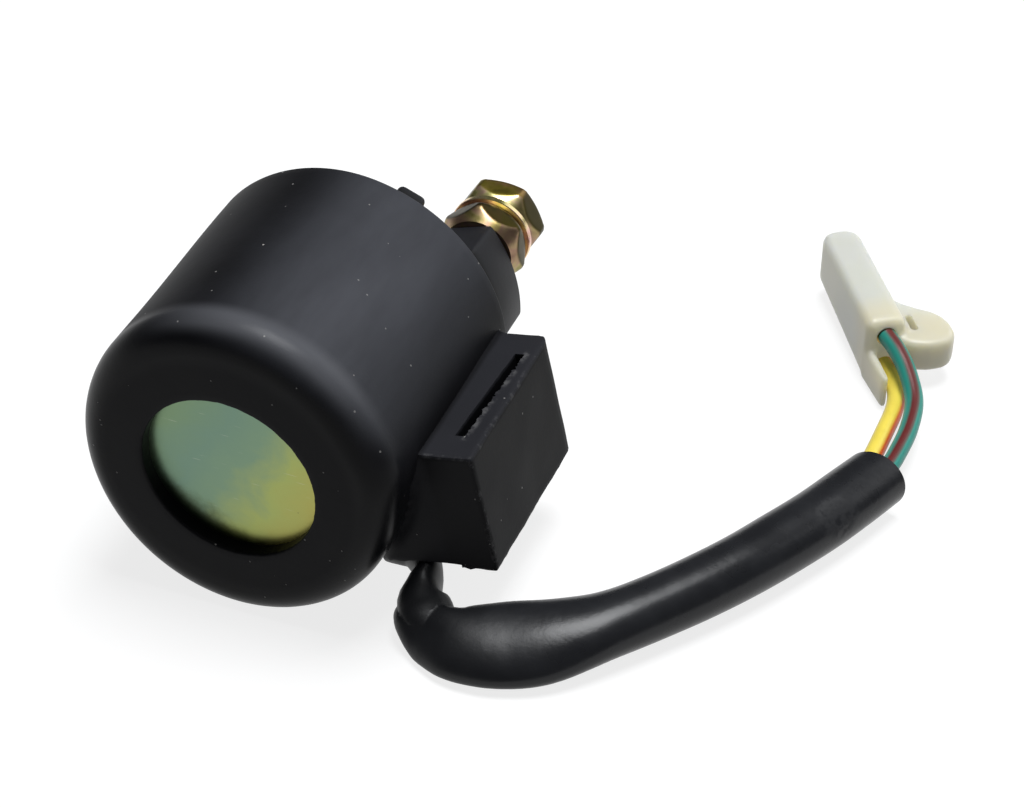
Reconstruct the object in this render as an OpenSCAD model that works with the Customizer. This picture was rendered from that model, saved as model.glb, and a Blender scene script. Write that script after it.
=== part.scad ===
// Starter relay: a solenoid switch in a drawn steel can, with a rubber boot, two screw
// terminals on a moulded cap, and a short sleeved lead that ends in a small connector.
// It lies on its side. Its axis runs along +Y, from the window in the boot to the terminals.

/* [Boot] */
// Outer diameter of the rubber boot
boot_d = 44; // [42:1:52]
// Thickness of the boot's side wall
boot_wall = 2; // [1.6:0.1:3]
// Thickness of the boot's front wall, around the window
boot_front = 2; // [1.5:0.1:3]
// Radius of the boot's rounded front rim
boot_round = 4; // [2:0.5:6]
// Radius of the boot's rounded rear edge
boot_lip = 0.6; // [0.2:0.1:0.8]
// How far the boot's rear edge stands past the cap's base
boot_over = 0.6; // [0.3:0.1:1.2]
// Diameter of the window in the boot's front wall
window_d = 23.6; // [16:0.2:28]

/* [Mounting lug] */
// How far the lug stands out from the boot
lug_reach = 7.4; // [6:0.2:10]
// Height of the lug's outer face
lug_h = 17.5; // [14:0.5:18]
// How far the lug's top face lies below the relay's axis
lug_drop = 0.4; // [0:0.1:2]
// Length of the lug along the relay
lug_len = 26.8; // [22:0.2:28]
// Distance from the boot's front face to the lug
lug_start = 8.6; // [6:0.2:9]
// Width of the slot for the frame's tab
slot_w = 1.7; // [1.2:0.1:2.4]
// Length of the slot for the frame's tab
slot_len = 17.2; // [12:0.2:20]
// Thickness of rubber outside the slot
slot_skin = 2.4; // [1.8:0.1:3]

/* [Can and coil] */
// Thickness of the can's sheet
can_t = 1; // [0.6:0.1:1.2]
// Length of the coil bobbin
coil_len = 22; // [20:1:28]
// Thickness of the bobbin's flanges and barrel
bobbin_t = 0.9; // [0.7:0.1:1.2]
// Thickness of the guide tube in the bobbin
guide_t = 0.5; // [0.4:0.1:0.8]
// Gap between the winding and the can
coil_gap = 1.2; // [0.8:0.1:2]
// Thickness of the pole plate on top of the bobbin
plate_t = 2.4; // [1.8:0.1:3]

/* [Armature] */
// Diameter of the plunger
plunger_d = 10.8; // [9:0.2:12]
// Length of the plunger
plunger_len = 10.6; // [9:0.2:12]
// Diameter of the push rod
rod_d = 3; // [2.4:0.1:3.4]
// Gap between the contact disc and the stud heads at rest
contact_gap = 2.2; // [1.6:0.1:2.4]
// How much further the plunger moves after the disc has touched
over_travel = 0.8; // [0.5:0.1:1]
// Diameter of the contact disc
disc_d = 26; // [24:0.5:28]
// Thickness of the contact disc
disc_t = 1.2; // [1:0.1:1.6]
// Diameter of the spring wire
spring_wire = 0.6; // [0.4:0.1:0.7]
// Number of turns in the return spring
return_turns = 5; // [4:1:5]
// Number of turns in the contact spring
contact_turns = 4; // [3:1:5]

/* [Terminal cap] */
// Thickness of the cap's base
base_t = 2.8; // [2.4:0.1:3.4]
// Height of the cap's skirt, which stands on the pole plate
skirt_h = 7; // [7:0.1:8]
// Width of the bar that carries the terminals
bar_w = 14; // [13:0.5:18]
// Height of the bar above the cap's base
bar_h = 9; // [7:0.2:11]
// Turn of the cap against the boot
cap_turn = 6; // [-10:1:10]
// Height of the moulded key beside the bar
key_h = 3.6; // [2:0.2:5]
// How far the bar's ends stand out over the boot's rear edge
bar_over = 0.7; // [0:0.1:1.4]

/* [Terminals] */
// Thread diameter of the terminal studs
stud_d = 6; // [5:1:6]
// Distance from each stud's middle to the end of the bar, along the bar
stud_inset = 4.7; // [4.6:0.1:6]
// Distance of the studs from the bar's middle line
stud_side = 2.9; // [0:0.1:3]
// Length of stud that stands past the upper nut
stud_tail = 1.4; // [0.5:0.1:3]
// Width of the nuts across their flats
nut_af = 10.8; // [10:0.2:11]
// Height of the nuts
nut_h = 4.4; // [4:0.1:5.2]
// Thickness of the lock washer between the nuts
washer_t = 0.8; // [0.6:0.1:1.6]
// Diameter of the lock washer
washer_d = 11.4; // [10:0.1:12]
// Thickness of the contact head on each stud
head_t = 2.4; // [2:0.1:3]

/* [Lead] */
// Diameter of the lead's outer sleeve
sleeve_d = 8.2; // [6:0.2:8.2]
// Diameter of the wires
wire_d = 2.6; // [1.8:0.1:2.6]

/* [Connector] */
// Length of the connector housing
conn_len = 23.6; // [20:0.2:28]
// Width of the connector housing, across its two ways
conn_h = 10.4; // [10:0.2:12]
// Thickness of the connector housing
conn_t = 5.8; // [5.6:0.1:6.4]
// Thickness of the housing's walls
conn_wall = 0.8; // [0.6:0.1:0.9]
// Depth of the socket
socket_len = 10; // [8:0.5:12]
// Distance between the two ways
way_pitch = 5; // [4.8:0.1:5.4]

/* [Rest] */
// Turn of the relay about its own axis, as it lies
lie_turn = 11.5; // [0:0.5:14]

/* [Hidden] */

$fn = 72;
// Clearance between pieces that are fitted together
fit = 0.05;
// Running clearance of the plunger and the rod
run = 0.06;
// Clearance of the lead in its port
port_gap = 0.3;
// A cut reaches this far past the face that it opens
past = 1;

// Radii of the boot, the can, the coil and the cap
boot_r = boot_d / 2;
bore_r = boot_r - boot_wall;
can_r = bore_r - fit;
can_in = can_r - can_t;
winding_r = can_in - coil_gap;
flange_r = can_in - fit;
skirt_t = 1.6;
lip_r = can_in - 1.5;
plunger_r = plunger_d / 2;
guide_r = plunger_r + run;
barrel_r = guide_r + guide_t + fit;
rod_r = rod_d / 2;
seal_t = 0.8;
bar_r = bore_r + bar_over;
stud_out = bar_r - stud_inset;

// Places along the axis, from the boot's front face
can_at = boot_front;
pad_at = can_at + can_t;
pad_t = 0.5;
coil_at = pad_at + fit;
plate_at = coil_at + coil_len + fit;
chamber_at = plate_at + plate_t;
cap_at = chamber_at + skirt_h;
notch_at = chamber_at + 3;
base_at = cap_at + base_t;
shoulder_at = base_at - 1.2;
bar_at = base_at + bar_h;
boot_len = base_at + boot_over;
lower_nut_at = bar_at;
washer_at = lower_nut_at + nut_h;
upper_nut_at = washer_at + washer_t;
stud_end = upper_nut_at + nut_h + stud_tail;

// Places of the armature at rest: the stroke closes the contact gap, then the over-travel
stroke = contact_gap + over_travel;
head_at = cap_at - 1;
disc_at = head_at - contact_gap - disc_t;
bush_t = 0.8;
bush_at = disc_at - bush_t;
top_washer_t = 0.8;
clip_t = 0.6;
groove_r = rod_r - 0.5;
clip_r = rod_r + 1;
clip_at = disc_at + disc_t + top_washer_t;
rod_end = clip_at + clip_t + 0.8;
plunger_at = pad_at + pad_t + 0.2;
plunger_end = plunger_at + plunger_len;
rod_grip = 5;
core_at = plunger_end + stroke + 0.1;
spring_well = 4;
well_end = core_at + spring_well;
collar_t = 0.8;
collar_at = chamber_at - 3.6;
spring_r = plunger_r - 1.9;
well_r = spring_r + spring_wire;
collar_r = spring_r + spring_wire / 2;
bush_r = rod_r + run + bush_t;
flange_out = spring_r + spring_wire + 0.4;

// The lug and its slot, in the bench frame
lug_out = boot_r + lug_reach;
lug_low = lug_drop + lug_h;
lug_root = boot_r * 0.55;
slot_at = lug_start + (lug_len - slot_len) / 2 - 0.2;
slot_x = lug_out - slot_skin - slot_w;

// Where the laid relay sits: its box is centred over the origin and it rests on z = 0
lug_far = lug_out * cos(lie_turn) + lug_low * sin(lie_turn);
rest_at = [(boot_r - lug_far) / 2, -stud_end / 2, boot_r];

// The lead's sleeve, from its port under the lug to its cut end, in the resting frame
sleeve_route = [
    [11.2, -14.8, 6.4], [15.5, -19.7, 4.3], [17.1, -22.4, 4.2], [17.9, -25, 4.2],
    [19.4, -27.3, 4.2], [22.2, -28.3, 4.2], [25.6, -27.8, 4.2], [29.8, -26.1, 4.2],
    [34.2, -23.6, 4.2], [38.3, -20.4, 4.2], [42.2, -16.4, 4.2], [45.9, -11.8, 4.2],
    [49.5, -6.8, 4.2], [53.1, -1.2, 4.2], [56.6, 4.8, 4.2], [60.2, 11.3, 4.2],
    [63.5, 18, 4.2], [66, 24, 4.2]];
// The two wires, from the sleeve's end to the back of the connector
yellow_route = [
    [64.4, 25.1, 3.2], [64.9, 28, 3], [64.3, 32, 2.8], [63.3, 36, 2.7],
    [62.4, 40, 2.7], [61.8, 43.4, 2.7], [60.6, 46.2, 2.7], [58.8, 48.8, 2.7]];
green_route = [
    [67.2, 23.9, 4.2], [67.8, 27.2, 4.2], [68.1, 31.5, 4.4], [67.6, 36, 4.8],
    [66.2, 40.2, 5.6], [63.8, 43.6, 6.6], [61.6, 45.3, 7.5], [60.3, 46.6, 7.7], [58.8, 48.8, 7.7]];

// The connector's place on the table, and its turn about the vertical
conn_at = [59, 48.5];
conn_turn = 33;
conn_low_way = conn_h / 2 - way_pitch / 2;
conn_high_way = conn_h / 2 + way_pitch / 2;

function unit(v) = v / norm(v);
function tangent(route, i) =
    unit(route[min(i + 1, len(route) - 1)] - route[max(i - 1, 0)]);

// A round tube swept along a route that is nowhere vertical
module swept_tube(route, r, sides) {
    rings = len(route);
    points = [
        for (i = [0:rings - 1])
            let (t = tangent(route, i), u = unit(cross(t, [0, 0, 1])), v = cross(u, t))
            for (k = [0:sides - 1])
                let (a = 360 * k / sides)
                route[i] + r * (cos(a) * u + sin(a) * v)];
    walls = [
        for (i = [0:rings - 2], k = [0:sides - 1])
            let (n = (k + 1) % sides)
            [i * sides + k, i * sides + n, (i + 1) * sides + n, (i + 1) * sides + k]];
    first = [[for (k = [sides - 1:-1:0]) k]];
    last = [[for (k = [0:sides - 1]) (rings - 1) * sides + k]];
    polyhedron(points = points, faces = concat(walls, first, last), convexity = 6);
}

// A helix about Z, from z = low to z = high
function helix(r, low, high, turns, steps) = [
    for (i = [0:turns * steps])
        let (a = 360 * i / steps, share = i / (turns * steps))
        [r * cos(a), r * sin(a), low + share * (high - low)]];

module spring(r, wire, low, high, turns) {
    swept_tube(helix(r, low + wire / 2, high - wire / 2, turns, 12), wire / 2, 6);
}

// The bench frame has the relay's axis along Z, X to its right and Y down
module laid() {
    translate(rest_at) rotate([0, -lie_turn, 0]) rotate([-90, 0, 0]) children();
}

// The relay can sit turned in its boot
module turned() {
    rotate([0, 0, -cap_turn]) children();
}

module ring(outer, inner, low, high) {
    difference() {
        translate([0, 0, low]) cylinder(r = outer, h = high - low);
        translate([0, 0, low - past]) cylinder(r = inner, h = high - low + 2 * past);
    }
}

// The slanted line on which the lead leaves the relay
lead_dir = unit(sleeve_route[1] - sleeve_route[0]);
module along_lead(back, r, h) {
    translate(sleeve_route[0] - back * lead_dir)
        rotate([0, acos(lead_dir[2]), atan2(lead_dir[1], lead_dir[0])])
            cylinder(r = r, h = h);
}

// Half section of the boot, with a rounded front rim and a softer rear edge
module boot_section() {
    difference() {
        union() {
            translate([0, boot_round]) square([boot_r, boot_len - boot_round - boot_lip]);
            square([boot_r - boot_round, boot_len]);
            translate([boot_r - boot_round, boot_round]) circle(r = boot_round);
            translate([boot_r - boot_lip, boot_len - boot_lip]) circle(r = boot_lip);
            translate([bore_r - past, boot_len - boot_lip - past])
                square([boot_wall + past - boot_lip, boot_lip + past]);
        }
        translate([-past, boot_front]) square([bore_r + past, boot_len]);
        translate([-past, -past]) square([window_d / 2 + past, boot_front + 2 * past]);
        translate([-2 * boot_r, -past]) square([2 * boot_r, boot_len + 2 * past]);
    }
}

module lug() {
    difference() {
        translate([lug_root, lug_drop, lug_start]) cube([lug_out - lug_root, lug_h, lug_len]);
        translate([0, 0, lug_start - past]) cylinder(r = bore_r + boot_wall / 2, h = lug_len + 2 * past);
        translate([slot_x, lug_drop - past, slot_at]) cube([slot_w, lug_h + 2 * past, slot_len]);
    }
}

module rubber_boot() color("#26272a") difference() {
    laid() union() {
        rotate_extrude() boot_section();
        lug();
    }
    along_lead(boot_d / 4, sleeve_d / 2 + port_gap, boot_d / 2);
}

// Drawn cup, notched for the bar's feet, with its mouth rolled in over the cap's shoulder
module relay_can() color("#a9a45c") difference() {
    laid() difference() {
        rotate_extrude() difference() {
            translate([0, can_at]) square([can_r, base_at - fit - can_at]);
            translate([-past, pad_at]) square([can_in + past, shoulder_at - pad_at]);
            translate([-past, shoulder_at - past]) square([lip_r + past, boot_len]);
        }
        turned() bar_block(boot_r, bar_w + 2 * fit, notch_at - fit, base_at + past);
    }
    along_lead(boot_d / 4, sleeve_d / 2 + port_gap, boot_d / 2);
}

// Fibre pad that the plunger drops back on
module backstop_pad() color("#7d5a3a") laid() {
    translate([0, 0, pad_at + fit]) cylinder(r = plunger_r, h = pad_t);
}

module coil_bobbin() color("#d9d3c0") laid() {
    ring(barrel_r + bobbin_t, barrel_r, coil_at, coil_at + coil_len);
    ring(flange_r, barrel_r, coil_at, coil_at + bobbin_t);
    ring(flange_r, barrel_r, coil_at + coil_len - bobbin_t, coil_at + coil_len);
}

module coil_winding() color("#b4622c") laid() {
    ring(winding_r, barrel_r + bobbin_t + fit, coil_at + bobbin_t + fit,
         coil_at + coil_len - bobbin_t - fit);
}

module guide_tube() color("#c9a24a") laid() {
    ring(barrel_r - fit, guide_r, pad_at + fit, core_at);
}

foot_step = 0.5;

// Flux plate and fixed core in one turned piece, with a well for each spring
module pole_plate() color("#8f9296") laid() difference() {
    union() {
        translate([0, 0, core_at]) cylinder(r = barrel_r - fit, h = chamber_at - core_at);
        translate([0, 0, plate_at]) cylinder(r = flange_r, h = plate_t);
    }
    translate([0, 0, core_at - past]) cylinder(r = rod_r + run, h = coil_len);
    translate([0, 0, core_at - past]) cylinder(r = well_r, h = spring_well + past);
    translate([0, 0, collar_at - fit]) cylinder(r = well_r, h = coil_len);
}

module plunger() color("#83868b") laid() difference() {
    translate([0, 0, plunger_at]) cylinder(r = plunger_r, h = plunger_len);
    translate([0, 0, plunger_end - rod_grip]) cylinder(r = rod_r + fit, h = rod_grip + past);
    ring(plunger_r + past, plunger_r - foot_step, plunger_at - past, plunger_at + foot_step);
}

// Rod with a reduced tip that carries the clip
module push_rod() color("#b8bcc0") laid() {
    translate([0, 0, plunger_end - rod_grip]) cylinder(r = rod_r, h = clip_at - plunger_end + rod_grip);
    translate([0, 0, clip_at]) cylinder(r = groove_r, h = clip_t);
    translate([0, 0, clip_at + clip_t]) cylinder(r = rod_r, h = rod_end - clip_at - clip_t);
}

module rod_collar() color("#9da1a5") laid() {
    ring(collar_r, rod_r + fit / 2, collar_at + fit, collar_at + fit + collar_t);
}

module return_spring() color("#c6cace") laid() {
    spring(spring_r, spring_wire, plunger_end, well_end, return_turns);
}

module contact_spring() color("#c6cace") laid() {
    spring(spring_r, spring_wire, collar_at + fit + collar_t, bush_at, contact_turns);
}

// Flanged bush that keeps the disc off the steel rod
module insulator_bush() color("#4c3226") laid() {
    ring(flange_out, rod_r + run, bush_at, disc_at);
    ring(bush_r, rod_r + run, bush_at, disc_at + disc_t - fit);
}

module contact_disc() color("#b87333") laid() {
    ring(disc_d / 2, bush_r + fit, disc_at, disc_at + disc_t);
}

module insulator_washer() color("#4c3226") laid() {
    ring(clip_r, rod_r + run, disc_at + disc_t, clip_at);
}

// Open retaining clip in the rod's groove
module rod_clip() color("#9da1a5") laid() difference() {
    ring(clip_r, groove_r + fit, clip_at + fit, clip_at + clip_t - fit);
    translate([0, fit - groove_r, clip_at - past])
        cube([clip_r + past, 2 * (groove_r - fit), clip_t + 2 * past]);
}

// A contact head lies inside the skirt, and reaches in over the disc
head_w = 8;
head_in = 6;
head_wall = 0.6;
module head_block(grow, low, high) {
    intersection() {
        translate([stud_out - head_in - grow, -stud_side - head_w / 2 - grow, low])
            cube([boot_r, head_w + 2 * grow, high - low]);
        translate([0, 0, low]) cylinder(r = can_r - fit - head_wall - fit + grow, h = high - low);
    }
}

module both_ends() {
    children();
    mirror([1, 0, 0]) children();
}

// A bar across the relay, with its ends on a circle
module bar_block(r, width, low, high) {
    intersection() {
        translate([0, 0, low]) cylinder(r = r, h = high - low);
        translate([-boot_r, -width / 2, low]) cube([boot_d, width, high - low]);
    }
}

// Moulded cap: base, skirt on the pole plate, the bar across it, and a key beside the bar
module terminal_cap() color("#2b2c30") laid() turned() difference() {
    union() {
        translate([0, 0, cap_at]) cylinder(r = can_in - fit, h = shoulder_at - fit - cap_at);
        translate([0, 0, cap_at]) cylinder(r = lip_r - fit, h = base_t);
        ring(can_in - fit, can_in - skirt_t, chamber_at, cap_at);
        bar_block(can_r - fit, bar_w, notch_at, bar_at);
        bar_block(bar_r, bar_w, boot_len + fit, bar_at);
        cap_key();
    }
    translate([0, 0, chamber_at - past]) cylinder(r = can_in - skirt_t, h = skirt_h + past);
    both_ends() translate([stud_out, -stud_side, cap_at - past])
        cylinder(r = stud_d / 2 + fit, h = base_t + bar_h + 2 * past);
    both_ends() head_block(fit, notch_at, head_at + head_t);
    translate([0, 0, cap_at - past]) cylinder(r = rod_r + 2.2, h = stroke + 1.4);
}

// Key that the can's tooling turns the cap by
key_turn = 50;
key_w = 4;
key_t = 3;
module cap_key() {
    rotate([0, 0, -key_turn]) intersection() {
        translate([0, 0, base_at]) cylinder(r = can_r - fit, h = key_h);
        translate([lip_r - key_t, -key_w / 2, base_at]) cube([boot_r, key_w, key_h]);
    }
    rotate([0, 0, -key_turn]) translate([lip_r - key_t, -key_w / 2, cap_at])
        cube([key_t - 1, key_w, base_t]);
}

// Ring of rubber between the pole plate and the can's wall under the cap
module cap_seal() color("#3a3a3a") laid() {
    ring(can_in - skirt_t - fit, can_in - skirt_t - fit - seal_t, chamber_at + fit, chamber_at + 1.2);
}

stud_taper = 0.6;
module stud() {
    translate([stud_out, -stud_side, head_at])
        cylinder(r = stud_d / 2, h = stud_end - head_at - stud_taper);
    translate([stud_out, -stud_side, stud_end - stud_taper])
        cylinder(r1 = stud_d / 2, r2 = stud_d / 2 - stud_taper, h = stud_taper);
    head_block(0, head_at, head_at + head_t - fit);
}

// Hexagon nut with both faces chamfered
nut_r = nut_af / 2;
nut_cham = 0.55;
module nut(low, turn) {
    translate([stud_out, -stud_side, low]) rotate([0, 0, turn]) difference() {
        intersection() {
            cylinder(d = nut_af / cos(30), h = nut_h, $fn = 6);
            rotate_extrude() polygon([
                [0, 0], [nut_r - fit, 0], [nut_r / cos(30), nut_cham],
                [nut_r / cos(30), nut_h - nut_cham], [nut_r - fit, nut_h], [0, nut_h]]);
        }
        translate([0, 0, -past]) cylinder(r = stud_d / 2 + fit, h = nut_h + 2 * past);
    }
}

// Split spring washer
module lock_washer() {
    translate([stud_out, -stud_side, 0]) difference() {
        ring(washer_d / 2, stud_d / 2 + fit, washer_at, upper_nut_at);
        rotate([0, 0, 150]) translate([0, -0.3, washer_at - past])
            cube([washer_d, 0.6, washer_t + 2 * past]);
    }
}

module stud_right() color("#c8b46a") laid() turned() stud();
module stud_left() color("#c8b46a") laid() turned() mirror([1, 0, 0]) stud();
// Turns at which the nuts came to rest
lower_right_turn = 42;
lower_left_turn = 8;
upper_right_turn = 20;
upper_left_turn = 33;

module lower_nut_right() color("#cbb96a") laid() turned() nut(lower_nut_at, lower_right_turn);
module lower_nut_left() color("#cbb96a") laid() turned() mirror([1, 0, 0]) nut(lower_nut_at, lower_left_turn);
module lock_washer_right() color("#cbb96a") laid() turned() lock_washer();
module lock_washer_left() color("#cbb96a") laid() turned() mirror([1, 0, 0]) lock_washer();
module upper_nut_right() color("#cbb96a") laid() turned() nut(upper_nut_at, upper_right_turn);
module upper_nut_left() color("#cbb96a") laid() turned() mirror([1, 0, 0]) nut(upper_nut_at, upper_left_turn);

// Rubber plug in the can's lead hole
module lead_grommet() color("#1f1f22") difference() {
    along_lead(boot_d / 4, sleeve_d / 2 + port_gap - fit, boot_d / 4 - fit);
    laid() translate([0, 0, -past]) cylinder(r = can_in, h = boot_len);
}

module lead_sleeve() color("#1c1c20") swept_tube(sleeve_route, sleeve_d / 2, 12);
module wire_yellow() color("#e8d43a") swept_tube(yellow_route, wire_d / 2, 8);
module wire_green() color("#2f9c86") swept_tube(green_route, wire_d / 2, 8);

// The connector stands on its narrow side: X across it, Y towards its mouth, Z up
module plugged() {
    translate([conn_at[0], conn_at[1], 0]) rotate([0, 0, conn_turn]) children();
}

way_w = 3.2;
tab_w = 2.8;
tab_t = 0.8;
barrel_at = 0.4;
barrel_len = 6;
latch_low = 2.6;
latch_tall = 5.2;
latch_out = 7.2;
latch_from = -3;
latch_to = conn_len * 0.4;
latch_gap = 1.8;
thumb_r = 2.2;
soft = 0.6;
guard_len = 6.6;
guard_tall = conn_h * 0.7;

// Plan of the latch: a bowed arm with a thumb rest, sprung from the housing's side
module latch_plan() {
    difference() {
        hull() {
            translate([conn_t / 2 - soft, latch_from]) circle(r = soft, $fn = 24);
            translate([conn_t / 2 + latch_out - thumb_r, latch_from + thumb_r]) circle(r = thumb_r);
            translate([conn_t / 2 + latch_out - thumb_r, latch_to / 2]) circle(r = thumb_r);
            translate([conn_t / 2 - soft, latch_to]) circle(r = soft, $fn = 24);
        }
        hull() {
            translate([conn_t / 2 + latch_gap, 1]) circle(r = latch_gap / 2, $fn = 24);
            translate([conn_t / 2 + latch_gap, latch_to / 2]) circle(r = latch_gap / 2, $fn = 24);
        }
        translate([-conn_t, -boot_r]) square([1.5 * conn_t - fit, boot_d]);
    }
}

// Skirt that guards the wires on the side away from the latch
module wire_guard() {
    translate([-conn_t / 2, 0, 0]) rotate([90, 0, 90]) linear_extrude(conn_wall)
        polygon([
            [soft, soft], [soft - guard_len, soft], [-guard_len, guard_len / 3],
            [-guard_len / 2, guard_tall], [soft, conn_h - soft]]);
}

module connector_housing() color("#dfe2d3") plugged() {
    difference() {
        union() {
            translate([-conn_t / 2, 0, 0]) rotate([-90, 0, 0]) linear_extrude(conn_len)
                translate([conn_t / 2, -conn_h / 2]) offset(r = soft, $fn = 24)
                    square([conn_t - 2 * soft, conn_h - 2 * soft], center = true);
            translate([0, 0, latch_low]) linear_extrude(latch_tall) latch_plan();
            wire_guard();
        }
        translate([conn_wall - conn_t / 2, conn_len - socket_len, conn_wall])
            cube([conn_t - 2 * conn_wall, socket_len + past, conn_h - 2 * conn_wall]);
        for (z = [conn_low_way, conn_high_way])
            translate([-way_w / 2, -past, z - way_w / 2]) cube([way_w, conn_len, way_w]);
    }
}

// Brass terminal: a crimped barrel in the way and a flat tab in the socket
module connector_pin(z) {
    translate([0, barrel_at, z]) rotate([-90, 0, 0]) cylinder(r = way_w / 2 - fit, h = barrel_len);
    translate([-tab_w / 2, barrel_len, z - tab_w / 2])
        cube([tab_w, conn_len - socket_len - barrel_len, tab_w]);
    translate([-tab_t / 2, conn_len - socket_len, z - tab_w / 2]) cube([tab_t, socket_len - 2, tab_w]);
}

module connector_pin_upper() color("#c9a24a") plugged() connector_pin(conn_high_way);
module connector_pin_lower() color("#c9a24a") plugged() connector_pin(conn_low_way);

rubber_boot();
relay_can();
backstop_pad();
coil_bobbin();
coil_winding();
guide_tube();
pole_plate();
plunger();
push_rod();
rod_collar();
return_spring();
contact_spring();
insulator_bush();
contact_disc();
insulator_washer();
rod_clip();
terminal_cap();
cap_seal();
stud_right();
stud_left();
lower_nut_right();
lower_nut_left();
lock_washer_right();
lock_washer_left();
upper_nut_right();
upper_nut_left();
lead_grommet();
lead_sleeve();
wire_yellow();
wire_green();
connector_housing();
connector_pin_upper();
connector_pin_lower();
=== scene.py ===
import math

import bmesh
import bpy
import numpy as np
from mathutils import Matrix, Vector, noise


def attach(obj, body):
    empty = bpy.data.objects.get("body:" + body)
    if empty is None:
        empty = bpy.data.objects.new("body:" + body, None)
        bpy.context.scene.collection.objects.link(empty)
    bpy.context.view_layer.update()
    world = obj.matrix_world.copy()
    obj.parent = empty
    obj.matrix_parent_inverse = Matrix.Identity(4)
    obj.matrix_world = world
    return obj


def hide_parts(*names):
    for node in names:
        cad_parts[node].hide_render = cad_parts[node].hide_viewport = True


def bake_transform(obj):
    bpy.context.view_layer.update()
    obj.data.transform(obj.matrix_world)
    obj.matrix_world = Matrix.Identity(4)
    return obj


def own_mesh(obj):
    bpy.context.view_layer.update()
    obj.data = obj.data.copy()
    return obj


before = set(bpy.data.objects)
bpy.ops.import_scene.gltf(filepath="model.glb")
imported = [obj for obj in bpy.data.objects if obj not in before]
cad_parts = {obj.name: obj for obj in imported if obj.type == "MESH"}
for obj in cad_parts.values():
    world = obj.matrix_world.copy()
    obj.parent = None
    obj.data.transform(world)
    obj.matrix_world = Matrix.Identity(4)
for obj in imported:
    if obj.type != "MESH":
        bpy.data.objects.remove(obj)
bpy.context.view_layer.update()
scene = bpy.context.scene
MM = 0.001

# ---------------------------------------------------------------- camera
AZ, EL = math.radians(21.6), math.radians(38.6)
ahead = Vector((-math.sin(AZ) * math.cos(EL), math.cos(AZ) * math.cos(EL), -math.sin(EL)))
right = Vector((math.cos(AZ), math.sin(AZ), 0.0))
up = right.cross(ahead)
REST = Vector((-5.189, -28.65, 22.0))
spot = (35.0 * right + 9.31 * up - 301.67 * ahead + REST) * MM
cam_data = bpy.data.cameras.new("camera")
cam_data.lens = 2458 / 1024 * 36
cam_data.sensor_width = 36
cam_data.sensor_fit = "HORIZONTAL"
cam_data.clip_start = 0.01
camera = bpy.data.objects.new("camera", cam_data)
scene.collection.objects.link(camera)
camera.matrix_world = Matrix((
    (right.x, up.x, -ahead.x, spot.x),
    (right.y, up.y, -ahead.y, spot.y),
    (right.z, up.z, -ahead.z, spot.z),
    (0, 0, 0, 1)))
scene.camera = camera

# ---------------------------------------------------------------- places
LIE = math.radians(11.5)
CAP = math.radians(6)
BOOT_R, BORE_R, BOOT_LEN, WINDOW_R = 22.0, 20.0, 37.9, 11.8
BAR_AT, BAR_R, BAR_W = 46.3, 20.7, 14.0
STUD = (16.0, -2.9)


def laid(x, y, z):
    """Bench frame (axis Z, X right, Y down), in mm, to the row frame, in metres."""
    px, pz = x, -y
    return Vector((px * math.cos(LIE) - pz * math.sin(LIE) + REST.x, z + REST.y,
                   px * math.sin(LIE) + pz * math.cos(LIE) + REST.z)) * MM


def turned(x, y):
    """Cap frame to bench frame."""
    return (x * math.cos(CAP) + y * math.sin(CAP), -x * math.sin(CAP) + y * math.cos(CAP))


def capped(x, y, z):
    bx, by = turned(x, y)
    return laid(bx, by, z)


def smooth(t):
    t = min(1.0, max(0.0, t))
    return t * t * (3 - 2 * t)


def rough(x, y=0.0, z=0.0):
    return noise.noise(Vector((x, y, z)))


# ---------------------------------------------------------------- meshes
def new_object(name, verts, faces, shade=35):
    mesh = bpy.data.meshes.new(name)
    mesh.from_pydata([tuple(v) for v in verts], [], faces)
    mesh.validate()
    obj = bpy.data.objects.new(name, mesh)
    scene.collection.objects.link(obj)
    tidy(obj, shade)
    return obj


def tidy(obj, shade=35):
    bm = bmesh.new()
    bm.from_mesh(obj.data)
    bmesh.ops.recalc_face_normals(bm, faces=bm.faces)
    bm.to_mesh(obj.data)
    bm.free()
    if shade:
        for p in obj.data.polygons:
            p.use_smooth = True
        if shade < 180:
            obj.data.set_sharp_from_angle(angle=math.radians(shade))


def apply_modifiers(obj):
    deps = bpy.context.evaluated_depsgraph_get()
    mesh = bpy.data.meshes.new_from_object(obj.evaluated_get(deps))
    old = obj.data
    obj.modifiers.clear()
    obj.data = mesh
    bpy.data.meshes.remove(old)


def lathe(profile, n, place, closed=True):
    """Turns (r, z) points about the bench axis. place(x, y, z) gives the row frame."""
    verts, faces = [], []
    m = len(profile)
    for i in range(n):
        a = 2 * math.pi * i / n
        for r, z in profile:
            verts.append(place(r * math.cos(a), r * math.sin(a), z))
    for i in range(n):
        j = (i + 1) % n
        for k in range(m if closed else m - 1):
            l = (k + 1) % m
            faces.append((i * m + k, i * m + l, j * m + l, j * m + k))
    return verts, faces


def arc(cx, cy, r, a0, a1, n):
    return [(cx + r * math.cos(math.radians(a0 + (a1 - a0) * i / n)),
             cy + r * math.sin(math.radians(a0 + (a1 - a0) * i / n))) for i in range(n + 1)]


def sweep(points, sections, name):
    """A closed tube: at each point a ring of (side, up) offsets, in mm, square to the path."""
    pts = [Vector(p) for p in points]
    n = len(sections[0])
    verts, faces = [], []
    for i, p in enumerate(pts):
        t = (pts[min(i + 1, len(pts) - 1)] - pts[max(i - 1, 0)]).normalized()
        side = t.cross(Vector((0, 0, 1))).normalized()
        over = side.cross(t)
        for a, b in sections[i]:
            verts.append((p + side * a + over * b) * MM)
    for i in range(len(pts) - 1):
        for k in range(n):
            l = (k + 1) % n
            faces.append((i * n + k, i * n + l, (i + 1) * n + l, (i + 1) * n + k))
    return verts, faces


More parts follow.
